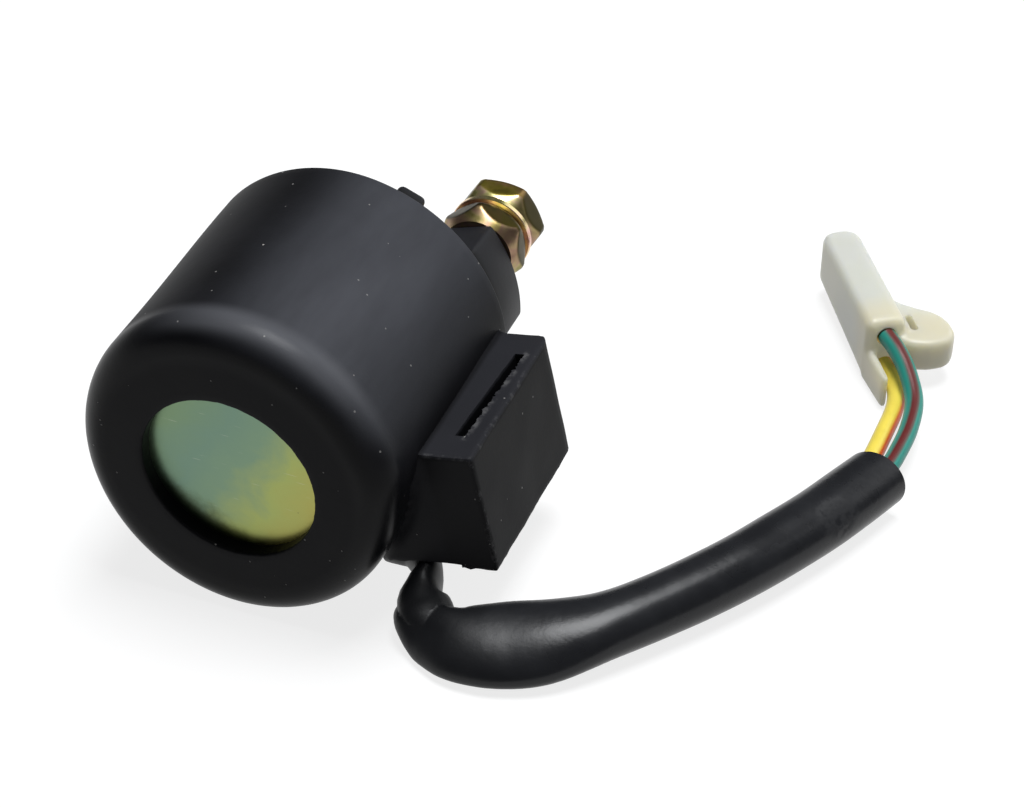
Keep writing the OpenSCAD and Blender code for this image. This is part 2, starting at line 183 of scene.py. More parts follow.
def spline(points, step):
    """A smooth curve through the points, at about the given step."""
    pts = [Vector(p) for p in points]
    ext = [2 * pts[0] - pts[1]] + pts + [2 * pts[-1] - pts[-2]]
    out = []
    for i in range(1, len(ext) - 2):
        p0, p1, p2, p3 = ext[i - 1:i + 3]
        n = max(1, round((p2 - p1).length / step))
        for k in range(n):
            t = k / n
            out.append(0.5 * ((2 * p1) + (p2 - p0) * t + (2 * p0 - 5 * p1 + 4 * p2 - p3) * t * t
                              + (3 * p1 - p0 - 3 * p2 + p3) * t ** 3))
    out.append(pts[-1])
    return out


def length(points):
    return sum((Vector(a) - Vector(b)).length for a, b in zip(points[1:], points[:-1]))


# ---------------------------------------------------------------- materials
def material(name):
    mat = bpy.data.materials.new(name)
    mat.use_nodes = True
    nt = mat.node_tree
    return mat, nt, nt.nodes["Principled BSDF"]


def put(nt, kind, **values):
    node = nt.nodes.new(kind)
    for key, value in values.items():
        if key in node.inputs:
            node.inputs[key].default_value = value
        else:
            setattr(node, key, value)
    return node


def link(nt, a, b):
    nt.links.new(a, b)


def grain(nt, scale, detail=4, rough_=0.55, src=None, dist=0.0):
    n = put(nt, "ShaderNodeTexNoise")
    n.inputs["Scale"].default_value = scale
    n.inputs["Detail"].default_value = detail
    n.inputs["Roughness"].default_value = rough_
    n.inputs["Distortion"].default_value = dist
    link(nt, src, n.inputs["Vector"])
    return n.outputs["Fac"]


def ramp(nt, fac, stops):
    r = put(nt, "ShaderNodeValToRGB")
    e = r.color_ramp.elements
    while len(e) < len(stops):
        e.new(0.5)
    for el, (pos, col) in zip(e, stops):
        el.position = pos
        el.color = (*col, 1) if len(col) == 3 else col
    link(nt, fac, r.inputs["Fac"])
    return r.outputs["Color"]


def grey(v):
    return (v, v, v)


def mix(nt, fac, a, b, mode="MIX"):
    m = nt.nodes.new("ShaderNodeMix")
    m.data_type = "RGBA"
    m.blend_type = mode
    for sock, v in ((m.inputs["Factor"], fac), (m.inputs[6], a), (m.inputs[7], b)):
        if isinstance(v, bpy.types.NodeSocket):
            link(nt, v, sock)
        elif isinstance(v, (int, float)):
            sock.default_value = v if sock.name == "Factor" else (v, v, v, 1)
        else:
            sock.default_value = (*v, 1)
    return m.outputs[2]


def math_node(nt, op, a, b=None):
    m = put(nt, "ShaderNodeMath", operation=op)
    for sock, v in zip(m.inputs, (a, b)):
        if v is None:
            continue
        if isinstance(v, bpy.types.NodeSocket):
            link(nt, v, sock)
        else:
            sock.default_value = v
    return m.outputs[0]


def bump(nt, bsdf, height, strength, distance):
    b = put(nt, "ShaderNodeBump")
    b.inputs["Strength"].default_value = strength
    b.inputs["Distance"].default_value = distance
    link(nt, height, b.inputs["Height"])
    link(nt, b.outputs["Normal"], bsdf.inputs["Normal"])


def coords(nt):
    return put(nt, "ShaderNodeTexCoord").outputs["Object"]


def specks(nt, src, scale, size, share):
    """Sparse dots: 1 on a speck, 0 elsewhere."""
    v = put(nt, "ShaderNodeTexVoronoi")
    v.inputs["Scale"].default_value = scale
    link(nt, src, v.inputs["Vector"])
    near = math_node(nt, "LESS_THAN", v.outputs["Distance"], size)
    sep = put(nt, "ShaderNodeSeparateColor")
    link(nt, v.outputs["Color"], sep.inputs["Color"])
    some = math_node(nt, "LESS_THAN", sep.outputs[0], share)
    return math_node(nt, "MULTIPLY", near, some)


def radial(nt, src):
    """Distance from the relay's axis, and the turn about it from straight up, towards +X."""
    sep = put(nt, "ShaderNodeSeparateXYZ")
    link(nt, src, sep.inputs[0])
    x = math_node(nt, "ADD", sep.outputs[0], -REST.x * MM)
    z = math_node(nt, "ADD", sep.outputs[2], -REST.z * MM)
    r = math_node(nt, "SQRT", math_node(nt, "ADD", math_node(nt, "MULTIPLY", x, x), math_node(nt, "MULTIPLY", z, z)))
    return r, math_node(nt, "ARCTAN2", x, z)


def map_range(nt, value, a, b, c=0.0, d=1.0, smoothly=True):
    m = put(nt, "ShaderNodeMapRange")
    m.interpolation_type = "SMOOTHSTEP" if smoothly else "LINEAR"
    link(nt, value, m.inputs["Value"])
    for key, v in (("From Min", a), ("From Max", b), ("To Min", c), ("To Max", d)):
        m.inputs[key].default_value = v
    return m.outputs["Result"]


def both(nt, *values):
    out = values[0]
    for v in values[1:]:
        out = math_node(nt, "MULTIPLY", out, v)
    return out


def rubber(name, dark=0.0048, light=0.0085, roughness=0.53, spec=0.09, dust=1.0, boot_marks_and_painted_light=False):
    mat, nt, b = material(name)
    src = coords(nt)
    cloud = grain(nt, 90, 5, 0.6, src)
    col = ramp(nt, cloud, [(0.35, (dark, dark * 1.02, dark * 1.25)), (0.7, (light, light * 1.02, light * 1.25))])
    r = math_node(nt, "ADD", math_node(nt, "MULTIPLY", cloud, 0.12), roughness - 0.06)
    if boot_marks_and_painted_light:
        # the stretched barrel has a grey bloom on its upper side, partly real bloom and partly painted sheen where
        # the light falls strongest
        away, turn = radial(nt, src)
        bloom_and_sheen = both(nt, map_range(nt, away, 0.0196, 0.0212), map_range(nt, away, 0.0242, 0.0233))
        # painted sheen: lighter round a turn of about 32 degrees from straight up
        side = math_node(nt, "ABSOLUTE", math_node(nt, "SUBTRACT", turn, 0.56))
        bloom_and_sheen = both(nt, bloom_and_sheen, map_range(nt, side, 0.85, 0.1))
        streak = put(nt, "ShaderNodeMapping")
        streak.inputs["Scale"].default_value = (1, 0.25, 1)
        link(nt, src, streak.inputs["Vector"])
        patch = grain(nt, 130, 4, 0.6, streak.outputs["Vector"])
        bloom_and_sheen = both(nt, bloom_and_sheen, map_range(nt, patch, 0.25, 0.7, 0.65, 1.15, False), 0.5)
        col = mix(nt, bloom_and_sheen, col, (0.098, 0.102, 0.118))
        # places on the bench: across, down and along
        sep = put(nt, "ShaderNodeSeparateXYZ")
        link(nt, src, sep.inputs[0])
        px = math_node(nt, "ADD", sep.outputs[0], -REST.x * MM)
        pz = math_node(nt, "ADD", sep.outputs[2], -REST.z * MM)
        across = math_node(nt, "ADD", math_node(nt, "MULTIPLY", px, math.cos(LIE)),
                           math_node(nt, "MULTIPLY", pz, math.sin(LIE)))
        down = math_node(nt, "SUBTRACT", math_node(nt, "MULTIPLY", px, math.sin(LIE)),
                         math_node(nt, "MULTIPLY", pz, math.cos(LIE)))
        along = math_node(nt, "ADD", sep.outputs[1], -REST.y * MM)
        # dust and painted light: the lug's top is made lighter
        top = both(nt, map_range(nt, across, 0.0222, 0.0232), map_range(nt, down, LUG_TOP * MM + 0.0006, LUG_TOP * MM + 0.0002),
                   map_range(nt, along, 0.0075, 0.0085))
        # painted shade: the lug's sides and the front face are darkened
        low = both(nt, map_range(nt, across, 0.0222, 0.0235), map_range(nt, top, 1.0, 0.0))
        low = math_node(nt, "MAXIMUM", low, map_range(nt, along, 0.0035, 0.0015))
        # painted shade on the lug's sides and the front face
        col = mix(nt, both(nt, low, 0.55), col, (0.0015, 0.0015, 0.002))
        # painted light with dust: the lug's top is lightened
        col = mix(nt, both(nt, top, 0.26), col, (0.055, 0.056, 0.066))
        # pale scuffs round the slot and along the lug's edges
        worn = grain(nt, 420, 6, 0.75, src)
        t = math_node(nt, "ADD", across, math_node(nt, "MULTIPLY", math_node(nt, "SUBTRACT", along, 0.013), -0.0506))
        rim = map_range(nt, math_node(nt, "ABSOLUTE", math_node(nt, "SUBTRACT", t, 0.0270)), 0.0007, 0.0001)
        ends = both(nt, map_range(nt, along, 0.0118, 0.0126), map_range(nt, along, 0.0318, 0.0308))
        rim = both(nt, rim, ends, top, map_range(nt, worn, 0.42, 0.62))
        col = mix(nt, both(nt, rim, 0.45), col, (0.15, 0.148, 0.15))
        edge_a = both(nt, map_range(nt, across, 0.0288, 0.0292), map_range(nt, down, LUG_TOP * MM + 0.0007, LUG_TOP * MM + 0.0003))
        edge_b = both(nt, map_range(nt, across, 0.0225, 0.023), map_range(nt, down, LUG_TOP * MM + 0.0006, LUG_TOP * MM + 0.0003),
                      map_range(nt, along, 0.0092, 0.0088))
        edge_c = both(nt, map_range(nt, across, 0.0288, 0.0292), map_range(nt, along, 0.0094, 0.009))
        edge = math_node(nt, "MAXIMUM", edge_a, math_node(nt, "MAXIMUM", edge_b, edge_c))
        col = mix(nt, both(nt, edge, map_range(nt, worn, 0.5, 0.62), 0.32), col, (0.12, 0.119, 0.122))
        # the mould left the front rim smoother
        shine = both(nt, map_range(nt, along, 0.0062, 0.0036), map_range(nt, away, 0.0165, 0.019))
        r = math_node(nt, "SUBTRACT", r, both(nt, shine, 0.2))
        # painted highlight: the front rim's upper part is lightened
        bloom_and_sheen = both(nt, shine, map_range(nt, along, 0.0006, 0.0022), map_range(nt, math_node(nt, "ABSOLUTE", math_node(nt, "SUBTRACT", turn, 0.3)), 0.95, 0.25), 0.6)
        col = mix(nt, bloom_and_sheen, col, (0.11, 0.113, 0.125))
    if name == "cap_plastic":
        # painted shade in the joint under the boot's rim
        sep = put(nt, "ShaderNodeSeparateXYZ")
        link(nt, src, sep.inputs[0])
        joint_shadow = map_range(nt, sep.outputs[1], (40.6 + REST.y) * MM, (39.4 + REST.y) * MM)
        # painted shadow: the cap is darkened just above the boot's rim
        col = mix(nt, both(nt, joint_shadow, 0.85), col, (0.0012, 0.0012, 0.0015))
    col = mix(nt, both(nt, specks(nt, src, 620, 0.085, 0.25 * dust), 0.5), col, (0.35, 0.34, 0.33))
    col = mix(nt, both(nt, specks(nt, src, 250, 0.03, 0.36 * dust), 0.85), col, (0.5, 0.48, 0.45))
    link(nt, col, b.inputs["Base Color"])
    fine = grain(nt, 2600, 3, 0.6, src)
    wide = grain(nt, 240, 3, 0.5, src)
    link(nt, r, b.inputs["Roughness"])
    h = math_node(nt, "ADD", math_node(nt, "MULTIPLY", fine, 0.35), wide)
    bump(nt, b, h, 0.25, 0.00012)
    b.inputs["Specular IOR Level"].default_value = spec
    return mat


def plated(name, stops, scale=160, roughness=0.24, shift=(0, 0, 0)):
    """Zinc plating with an iridescent passivate film."""
    mat, nt, b = material(name)
    src = coords(nt)
    mp = put(nt, "ShaderNodeMapping")
    mp.inputs["Location"].default_value = shift
    link(nt, src, mp.inputs["Vector"])
    src = mp.outputs["Vector"]
    film = grain(nt, scale, 3, 0.5, src, 0.6)
    fine = grain(nt, 1400, 4, 0.6, src)
    fac = math_node(nt, "ADD", film, math_node(nt, "MULTIPLY", math_node(nt, "SUBTRACT", fine, 0.5), 0.12))
    col = ramp(nt, fac, stops)
    link(nt, col, b.inputs["Base Color"])
    b.inputs["Metallic"].default_value = 1.0
    r = math_node(nt, "ADD", math_node(nt, "MULTIPLY", fine, 0.16), roughness - 0.08)
    link(nt, r, b.inputs["Roughness"])
    bump(nt, b, fine, 0.12, 0.00006)
    return mat


def plain_metal(name, color, roughness, scale=900, metallic=1.0):
    mat, nt, b = material(name)
    src = coords(nt)
    n = grain(nt, scale, 4, 0.6, src)
    col = mix(nt, n, tuple(c * 0.8 for c in color), tuple(min(1, c * 1.15) for c in color))
    link(nt, col, b.inputs["Base Color"])
    b.inputs["Metallic"].default_value = metallic
    r = math_node(nt, "ADD", math_node(nt, "MULTIPLY", n, 0.2), roughness - 0.1)
    link(nt, r, b.inputs["Roughness"])
    bump(nt, b, n, 0.15, 0.00005)
    return mat


def plain_plastic(name, color, roughness, scale=500, spec=0.5):
    mat = plain_metal(name, color, roughness, scale, 0.0)
    mat.node_tree.nodes["Principled BSDF"].inputs["Specular IOR Level"].default_value = spec
    return mat


ZINC = [(0.30, (0.30, 0.27, 0.10)), (0.42, (0.42, 0.37, 0.15)), (0.52, (0.62, 0.55, 0.34)),
        (0.60, (0.58, 0.40, 0.32)), (0.70, (0.40, 0.35, 0.13)), (0.82, (0.24, 0.32, 0.22))]
CREAM = [(0.30, (0.42, 0.44, 0.12)), (0.40, (0.80, 0.70, 0.32)), (0.48, (0.85, 0.62, 0.40)),
         (0.56, (0.72, 0.42, 0.38)), (0.66, (0.70, 0.60, 0.20)), (0.78, (0.06, 0.17, 0.11))]
OLIVE = [(0.30, (0.17, 0.14, 0.02)), (0.48, (0.30, 0.24, 0.04)), (0.62, (0.36, 0.22, 0.09)),
         (0.75, (0.16, 0.17, 0.06))]


def nut_film():
    """Yellow zinc that is thick and olive on the flats, thin and pale on the cones, with painted shade darkening the
    faces marked by the dark attribute.
    """
    mat, nt, b = material("nut_zinc")
    src = coords(nt)
    at = put(nt, "ShaderNodeAttribute", attribute_name="cone")
    film = grain(nt, 230, 3, 0.5, src, 0.6)
    fine = grain(nt, 1400, 4, 0.6, src)
    fac = math_node(nt, "ADD", film, math_node(nt, "MULTIPLY", math_node(nt, "SUBTRACT", fine, 0.5), 0.12))
    facet_shade = put(nt, "ShaderNodeAttribute", attribute_name="dark")
    # painted shade: faces marked dark are darkened, on the flats and on the cones
    flat = mix(nt, math_node(nt, "MULTIPLY", facet_shade.outputs["Fac"], 0.92), ramp(nt, fac, OLIVE), (0.03, 0.024, 0.005))
    pale = mix(nt, math_node(nt, "MULTIPLY", facet_shade.outputs["Fac"], 0.7), ramp(nt, fac, CREAM), (0.17, 0.115, 0.045))
    col = mix(nt, at.outputs["Fac"], flat, pale)
    link(nt, col, b.inputs["Base Color"])
    b.inputs["Metallic"].default_value = 1.0
    link(nt, math_node(nt, "ADD", math_node(nt, "MULTIPLY", fine, 0.16), 0.26), b.inputs["Roughness"])
    bump(nt, b, fine, 0.12, 0.00006)
    return mat


grommet_rubber = rubber("grommet_rubber", dust=0.3)
cap_plastic = rubber("cap_plastic", 0.010, 0.016, 0.5, 0.22, 0.3)
nut_zinc = nut_film()
stud_zinc = plated("stud_zinc", ZINC, shift=(0.3, 0.1, 0.2))
washer_zinc = plated("washer_zinc", CREAM, shift=(0.7, 0.5, 0.1))


def window_zinc():
    """The can's bottom: teal to yellow across the window, with fine scratches and a painted shade band towards the
    lower left.
    """
    mat, nt, b = material("window_zinc")
    src = coords(nt)
    sep = put(nt, "ShaderNodeSeparateXYZ")
    link(nt, src, sep.inputs[0])
    x = math_node(nt, "MULTIPLY", math_node(nt, "ADD", sep.outputs[0], 0.0052), 1 / 0.0236)
    z = math_node(nt, "MULTIPLY", math_node(nt, "ADD", sep.outputs[2], -0.022), 1 / 0.0236)
    slope = math_node(nt, "SUBTRACT", math_node(nt, "MULTIPLY", x, 0.85), math_node(nt, "MULTIPLY", z, 0.5))
    cloud = grain(nt, 170, 4, 0.55, src, 0.4)
    fac = math_node(nt, "ADD", math_node(nt, "ADD", slope, 0.5),
                    math_node(nt, "MULTIPLY", math_node(nt, "SUBTRACT", cloud, 0.5), 0.35))
    col = ramp(nt, fac, [(0.05, (0.16, 0.24, 0.14)), (0.30, (0.145, 0.23, 0.17)), (0.52, (0.165, 0.25, 0.165)),
                         (0.74, (0.30, 0.34, 0.11)), (1.0, (0.34, 0.31, 0.085))])
    scr = put(nt, "ShaderNodeTexNoise")
    scr.inputs["Scale"].default_value = 260
    scr.inputs["Detail"].default_value = 2
    mp = put(nt, "ShaderNodeMapping")
    mp.inputs["Rotation"].default_value = (0, 0.5, 0)
    mp.inputs["Scale"].default_value = (1, 1, 18)
    link(nt, src, mp.inputs["Vector"])
    link(nt, mp.outputs["Vector"], scr.inputs["Vector"])
    line = ramp(nt, scr.outputs["Fac"], [(0.70, grey(0.0)), (0.74, grey(1.0))])
    col = mix(nt, math_node(nt, "MULTIPLY", line, 0.25), col, (0.6, 0.6, 0.5))
    # painted shade: a dark ragged band towards the lower-left edge of the window, standing for the window wall's
    # shade and its reflection
    low = math_node(nt, "ADD", math_node(nt, "MULTIPLY", math_node(nt, "ADD", sep.outputs[0], -REST.x * MM), -0.5),
                    math_node(nt, "MULTIPLY", math_node(nt, "ADD", sep.outputs[2], -REST.z * MM), -0.87))
    ragged = math_node(nt, "MULTIPLY", math_node(nt, "SUBTRACT", grain(nt, 420, 4, 0.65, src), 0.5), 0.0035)
    shade = map_range(nt, math_node(nt, "ADD", low, ragged), 0.0072, 0.0104)
    col = mix(nt, math_node(nt, "MULTIPLY", shade, 0.7), col, (0.045, 0.052, 0.018))
    dots = specks(nt, src, 330, 0.06, 0.12)
    col = mix(nt, math_node(nt, "MULTIPLY", dots, 0.6), col, (0.08, 0.09, 0.05))
    link(nt, col, b.inputs["Base Color"])
    b.inputs["Metallic"].default_value = 1.0
    fine = grain(nt, 1500, 3, 0.6, src)
    link(nt, math_node(nt, "ADD", math_node(nt, "MULTIPLY", fine, 0.1), 0.27), b.inputs["Roughness"])
    bump(nt, b, fine, 0.06, 0.00004)
    return mat


# ---------------------------------------------------------------- the lead
# the strap that comes down from the port: place, half width, half height
STRAP = [((11.2, -14.8, 6.4), 3.4, 3.4), ((14.4, -15.7, 6.3), 2.4, 3.4), ((16.9, -18.3, 5.2), 1.9, 3.7),
         ((17.3, -20.6, 4.5), 2.4, 3.8), ((17.6, -22.0, 4.0), 3.2, 3.3), ((18.5, -23.1, 3.4), 3.6, 2.8),
         ((19.3, -24.1, 3.0), 3.5, 2.4), ((20.3, -25.1, 2.6), 2.7, 2.0)]
# the tube on the table, flattened where it folds: place, half width; its half height is its height
LAID = [((15.7, -23.3), 1.0, 1.3), ((16.2, -23.7), 1.9, 2.0), ((17.4, -24.5), 2.6, 2.4), ((19.3, -25.5), 3.1, 2.6),
        ((21.6, -26.4), 3.7, 2.8), ((24.2, -26.7), 4.6, 2.9), ((27.0, -26.1), 5.4, 3.0), ((30.0, -25.0), 5.8, 3.1),
        ((33.9, -23.1), 5.8, 3.3), ((37.9, -20.0), 5.3, 3.5), ((42.0, -16.2), 4.6, 3.7), ((45.8, -11.7), 4.4, 3.8),
        ((49.5, -6.8), 4.4, 3.9), ((53.2, -1.3), 4.4, 4.0), ((56.5, 4.5), 4.5, 4.0), ((59.9, 10.9), 4.5, 4.0),
        ((62.6, 16.9), 4.5, 4.0), ((64.8, 22.0), 4.4, 4.0)]
YELLOW = [(60.9, 17.4, 3.0), (61.9, 20.6, 3.0), (62.8, 25.0, 3.1), (63.0, 28.0, 3.1), (63.1, 32.9, 3.0),
          (63.1, 38.4, 2.8), (62.6, 42.0, 2.7), (61.3, 45.4, 2.7), (58.8, 48.8, 2.7)]
GREEN = [(63.8, 16.6, 4.2), (64.6, 18.9, 4.2), (65.2, 21.2, 4.2), (65.8, 24.4, 4.2), (66.2, 27.8, 4.3),
         (66.4, 33.3, 4.5), (65.7, 38.9, 5.0), (63.5, 43.4, 6.2), (61.2, 46.4, 7.2), (58.9, 48.8, 7.7)]
SLEEVE_D, WIRE_R = 8.2, 1.3
PORT = STRAP[0][0]
lead_dir = (Vector(STRAP[1][0]) - Vector(PORT)).normalized()


def sized(stations, step):
    """A smooth path through the stations, with the sizes carried along."""
    path = spline([p if len(p) == 3 else (p[0], p[1], b) for p, a, b in stations], step)
    sizes = spline([(i, a, b) for i, (p, a, b) in enumerate(stations)], 0.05)
    ends = [(Vector(p if len(p) == 3 else (p[0], p[1], b))) for p, a, b in stations]
    at, marks = 0, []
    for e in ends:
        near = min(range(at, len(path)), key=lambda i: (path[i] - e).length)
        marks.append(near)
        at = near
    out = []
    for i in range(len(path)):
        k = max(j for j in range(len(marks)) if marks[j] <= i)
        k = min(k, len(marks) - 2)
        t = (i - marks[k]) / max(1, marks[k + 1] - marks[k])
        t = min(1.0, t)
        row = [s for s in sizes if s[0] >= k + t - 1e-6]
        w = row[0] if row else sizes[-1]
        out.append((w[1], w[2]))
    return path, out


def ring(a, b, n):
    return [(a * math.cos(2 * math.pi * k / n), b * math.sin(2 * math.pi * k / n)) for k in range(n)]


def leaning(p, a, b, n):
    """Where the tube lies squashed, its ridge runs along the far side."""
    k = 0.85 * smooth((p.x - 16.5) / 4) * (1 - smooth((p.x - 30) / 11)) if n > 40 else 0
    w = math.sqrt(max(0.3, a * a - (k * b) ** 2))
    return [(w * math.cos(2 * math.pi * i / n) - k * b * math.sin(2 * math.pi * i / n),
             b * math.sin(2 * math.pi * i / n)) for i in range(n)]


def tube(stations, n, name, hollow=0):
    path, sizes = sized(stations, 0.55)
    path = [Vector((p.x, p.y, max(p.z, b + 0.02))) for p, (a, b) in zip(path, sizes)]
    verts, faces = sweep(path, [leaning(p, a, b, n) for p, (a, b) in zip(path, sizes)], name)
    last = (len(path) - 1) * n
    if hollow:
        cut_dir = (path[-1] - path[-6]).normalized()
        for k in range(n):
            # the end is cut a little aslant
            lean = 0.9 * math.cos(2 * math.pi * k / n - 0.6)
            for back in range(4):
                verts[last - back * n + k] = verts[last - back * n + k] + cut_dir * lean * (1 - back / 4) * MM
        inner = [ring(a - 0.75, b - 0.75, n) for a, b in sizes[-hollow:]]
        v2, f2 = sweep(path[-hollow:], inner, name)
        ilast = (hollow - 1) * n
        for k in range(n):
            lean = 0.9 * math.cos(2 * math.pi * k / n - 0.6)
            for back in range(4):
                v2[ilast - back * n + k] = v2[ilast - back * n + k] + cut_dir * (lean * (1 - back / 4) - 0.02) * MM
        base = len(verts)
        verts += v2
        faces += [tuple(base + i for i in f[::-1]) for f in f2]
        for k in range(n):
            l = (k + 1) % n
            faces.append((last + k, last + l, base + ilast + l, base + ilast + k))
        faces.append(tuple(base + k for k in range(n))[::-1])
    else:
        faces.append(tuple(last + k for k in range(n))[::-1])
    faces.append(tuple(range(n)))
    return new_object(name, verts, faces, 60), path


def sleeve_mesh():
    strap, strap_path = tube(STRAP, 40, "strap")
    laid_tube, laid_path = tube(LAID, 56, "sleeve_outer", 26)
    cut(laid_tube, strap, "UNION")
    tidy(laid_tube, 180)
    laid_tube.data.set_sharp_from_angle(angle=math.radians(50))
    join = min(range(len(laid_path)), key=lambda i: (laid_path[i] - Vector((19.3, -25.5, 2.6))).length)
    keep = [p for p in strap_path if p.y > -24.3]
    return laid_tube, keep + laid_path[join:]


def cut(obj, other, how):
    mod = obj.modifiers.new("cut", "BOOLEAN")
    mod.operation = how
    mod.solver = "EXACT"
    mod.object = other
    apply_modifiers(obj)
    bpy.data.objects.remove(other)


def wire_mesh(name, route_points, stripe_at, stripe_half):
    route = spline(route_points, 0.5)
    n = 28
    ring = [(WIRE_R * math.cos(2 * math.pi * k / n), WIRE_R * math.sin(2 * math.pi * k / n)) for k in range(n)]
    verts, faces = sweep(route, [ring] * len(route), name)
    m = len(route)
    faces.append(tuple(range(n)))
    faces.append(tuple((m - 1) * n + k for k in range(n))[::-1])
    obj = new_object(name, verts, faces, 60)
    attr = obj.data.attributes.new("stripe", "FLOAT", "POINT")
    for i in range(m):
        for k in range(n):
            a = math.degrees(2 * math.pi * k / n)
            d = abs((a - stripe_at + 180) % 360 - 180)
            attr.data[i * n + k].value = smooth((stripe_half + 8 - d) / 12)
    return obj, route


def wire_material(name, base, stripe):
    mat, nt, b = material(name)
    src = coords(nt)
    at = put(nt, "ShaderNodeAttribute", attribute_name="stripe")
    n = grain(nt, 300, 4, 0.6, src)
    body = mix(nt, n, tuple(c * 0.85 for c in base), tuple(min(1, c * 1.1) for c in base))
    band = mix(nt, n, tuple(c * 0.7 for c in stripe), stripe)
    col = mix(nt, at.outputs["Fac"], body, band)
    link(nt, col, b.inputs["Base Color"])
    b.inputs["Roughness"].default_value = 0.36
    b.inputs["Specular IOR Level"].default_value = 0.35
    bump(nt, b, grain(nt, 900, 3, 0.6, src), 0.1, 0.00006)
    return mat


def sleeve_material():
    mat, nt, b = material("sleeve_pvc")
    src = coords(nt)
    cloud = grain(nt, 140, 4, 0.6, src)
    col = ramp(nt, cloud, [(0.35, (0.0105, 0.011, 0.013)), (0.7, (0.017, 0.0178, 0.0205))])
    col = mix(nt, math_node(nt, "MULTIPLY", specks(nt, src, 300, 0.05, 0.08), 0.4), col, (0.4, 0.38, 0.36))
    # painted shade: the folded end is darkened, and made rougher
    far = put(nt, "ShaderNodeSeparateXYZ")
    link(nt, src, far.inputs[0])
    fold_shade = map_range(nt, far.outputs[0], 0.038, 0.022)
    col = mix(nt, math_node(nt, "MULTIPLY", fold_shade, 0.45), col, (0.004, 0.0042, 0.005))
    link(nt, col, b.inputs["Base Color"])
    fine = grain(nt, 1200, 3, 0.6, src)
    rub = put(nt, "ShaderNodeVectorMath", operation="DISTANCE")
    link(nt, src, rub.inputs[0])
    rub.inputs[1].default_value = (0.0638, 0.0093, 0.0076)
    worn = both(nt, map_range(nt, rub.outputs["Value"], 0.0042, 0.0022), map_range(nt, fine, 0.38, 0.56))
    link(nt, math_node(nt, "ADD", math_node(nt, "ADD", math_node(nt, "MULTIPLY", cloud, 0.16), 0.20),
                       math_node(nt, "ADD", math_node(nt, "MULTIPLY", worn, 0.4), math_node(nt, "MULTIPLY", fold_shade, 0.14))), b.inputs["Roughness"])
    bump(nt, b, math_node(nt, "ADD", math_node(nt, "MULTIPLY", fine, 0.3), cloud), 0.3, 0.0002)
    b.inputs["Specular IOR Level"].default_value = 0.30
    return mat


sleeve, sleeve_route = sleeve_mesh()
sleeve.data.materials.append(sleeve_material())
yellow, yellow_route = wire_mesh("yellow_wire", YELLOW, 18, 30)
yellow.data.materials.append(wire_material("yellow_pvc", (0.90, 0.72, 0.10), (0.90, 0.13, 0.02)))
green, green_route = wire_mesh("green_wire", GREEN, 88, 24)
green.data.materials.append(wire_material("green_pvc", (0.03, 0.30, 0.24), (0.15, 0.02, 0.018)))

# ---------------------------------------------------------------- connector
CONN_AT, CONN_TURN = (59.0, 48.5), math.radians(33)
CONN_LEN, CONN_H, CONN_T = 23.6, 10.4, 5.8


def plugged(x, y, z):
    c, s = math.cos(CONN_TURN), math.sin(CONN_TURN)
    return Vector((CONN_AT[0] + x * c - y * s, CONN_AT[1] + x * s + y * c, z)) * MM


def nylon():
    mat, nt, b = material("nylon")
    src = coords(nt)
    n = grain(nt, 130, 4, 0.6, src)
    col = mix(nt, n, (0.51, 0.52, 0.475), (0.57, 0.58, 0.53))
    sep = put(nt, "ShaderNodeSeparateXYZ")
    link(nt, src, sep.inputs[0])
    along = math_node(nt, "ADD", math_node(nt, "MULTIPLY", sep.outputs[0], -math.sin(CONN_TURN)),
                      math_node(nt, "MULTIPLY", sep.outputs[1], math.cos(CONN_TURN)))
    start = (-math.sin(CONN_TURN) * CONN_AT[0] + math.cos(CONN_TURN) * CONN_AT[1]) * MM
    stain = map_range(nt, math_node(nt, "SUBTRACT", along, start), 0.0075, 0.0015)
    col = mix(nt, math_node(nt, "MULTIPLY", stain, 0.7), col, (0.60, 0.54, 0.37))
    link(nt, col, b.inputs["Base Color"])
    b.inputs["Roughness"].default_value = 0.34
    # painted light: a faint glow stands in for light passing through the nylon
    b.inputs["Emission Color"].default_value = (0.9, 0.9, 0.78, 1)
    b.inputs["Emission Strength"].default_value = 0.12
    b.inputs["Subsurface Weight"].default_value = 1.0
    b.inputs["Subsurface Radius"].default_value = (1, 0.95, 0.7)
    b.inputs["Subsurface Scale"].default_value = 0.005
    b.inputs["Specular IOR Level"].default_value = 0.45
    bump(nt, b, grain(nt, 700, 3, 0.6, src), 0.08, 0.00008)
    return mat


nylon_mat = nylon()
# ---------------------------------------------------------------- boot
def oval(x, y):
    """How far the soft boot bulges at this place on the bench, as a share of its radius."""
    world = math.atan2(-y, x) + LIE
    by_lug = math.exp(-((world - 0.24) / 0.2) ** 2) * 0.04
    return 1 - 0.037 * math.cos(2 * (world + math.radians(14))) + by_lug


def boot_place(x, y, z):
    r = math.hypot(x, y)
    share = smooth((r - 13) / 8)
    if r < BORE_R + 0.01 and z > 1.9:
        share = 0
    fade = 1 - 0.85 * smooth((z - 10) / 26)
    k = 1 + (oval(x, y) - 1) * fade * share * BOOT_R / max(r, 1)
    if r > 12.5 and share > 0:
        k += 0.0035 * rough(x * 0.09 + 5, y * 0.09, z * 0.07)
    if r < 12.3 and z < 1.2:
        a = math.atan2(y, x)
        k += 0.006 * rough(a * 7, 3.1, 0.0) + 0.004 * rough(a * 19, 8.1, 0.0)
    p = laid(x * k, y * k, z)
    p.z = max(p.z, 0.0)
    return p


